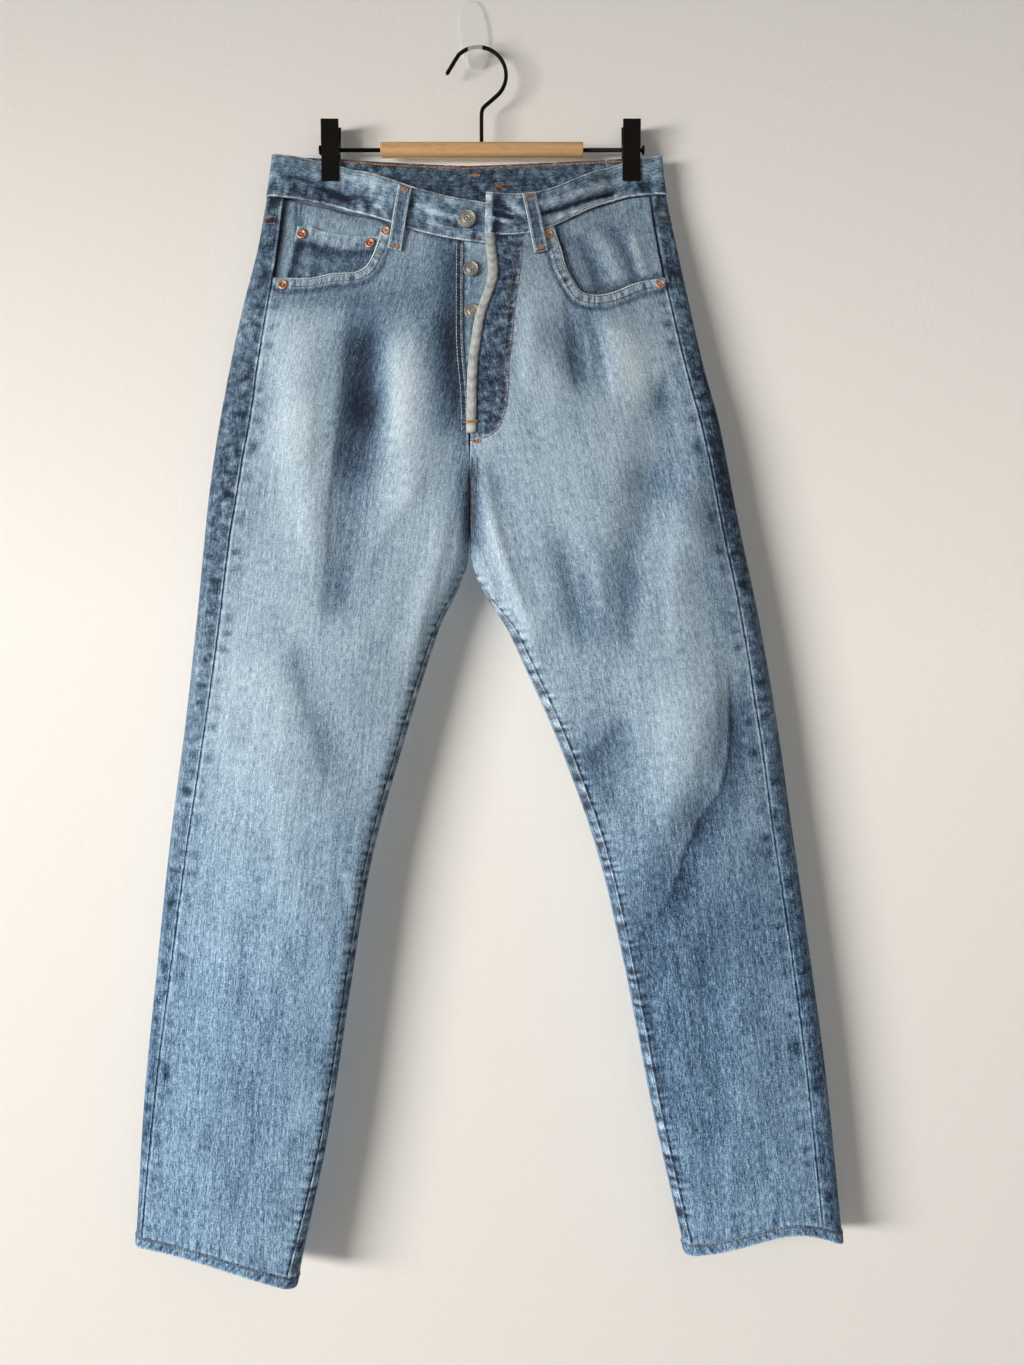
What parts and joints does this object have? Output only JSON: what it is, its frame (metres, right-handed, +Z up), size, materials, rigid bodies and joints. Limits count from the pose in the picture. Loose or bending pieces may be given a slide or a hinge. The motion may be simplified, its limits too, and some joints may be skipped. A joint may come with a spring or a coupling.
{
  "type": "straight leg jeans on a clip hanger and wall hook",
  "caption": "Light blue straight leg jeans with an open button fly, hanging flat by the waistband from a clip hanger on a clear wall hook.",
  "frame": {"origin": "centre of the wall hook's flat back face, on the wall", "axes": "+Z up, +Y into the wall, +X to the right as seen from the front; the front of the jeans faces -Y"},
  "size_m": [0.6584, 0.0571, 1.2025],
  "materials": {
    "denim": "washed cotton denim, light to mid blue, streaky warp, worn pale at edges and dark beside seams",
    "fly_denim": "washed denim, worn nearly white along the rolled edge",
    "button_metal": "worn grey metal with plain concentric rings",
    "rivet_copper": "worn copper",
    "hanger_metal": "matt near-black paint",
    "dowel_wood": "plain unvarnished beech, fine straight grain",
    "hook_plastic": "clear smooth plastic"
  },
  "bodies": {
    "root": {"front_right": "denim", "front_left": "denim", "back_right": "denim", "back_left": "denim", "yoke_right": "denim", "yoke_left": "denim", "waistband": "denim", "pocket_facing_right": "denim", "pocket_facing_left": "denim", "coin_pocket": "denim", "fly_button_placket": "denim", "belt_loop_front_right": "denim", "belt_loop_front_left": "denim", "belt_loop_back_right": "denim", "belt_loop_back_centre": "denim", "belt_loop_back_left": "denim", "back_pocket_right": "denim", "back_pocket_left": "denim", "hem_right": "denim", "hem_left": "denim", "fly_facing": "fly_denim", "waist_button": "button_metal", "fly_button_1": "button_metal", "fly_button_2": "button_metal", "rivet_coin_outer": "rivet_copper", "rivet_coin_inner": "rivet_copper", "rivet_mouth_right_inner": "rivet_copper", "rivet_mouth_right_outer": "rivet_copper", "rivet_mouth_left_inner": "rivet_copper", "rivet_mouth_left_outer": "rivet_copper", "hanger_hook": "hanger_metal", "hanger_rod": "hanger_metal", "clip_front_right": "hanger_metal", "clip_back_right": "hanger_metal", "clip_front_left": "hanger_metal", "clip_back_left": "hanger_metal", "clip_spring_right": "hanger_metal", "clip_spring_left": "hanger_metal", "hanger_dowel": "dowel_wood", "wall_hook": "hook_plastic"}
  },
  "joints": []
}
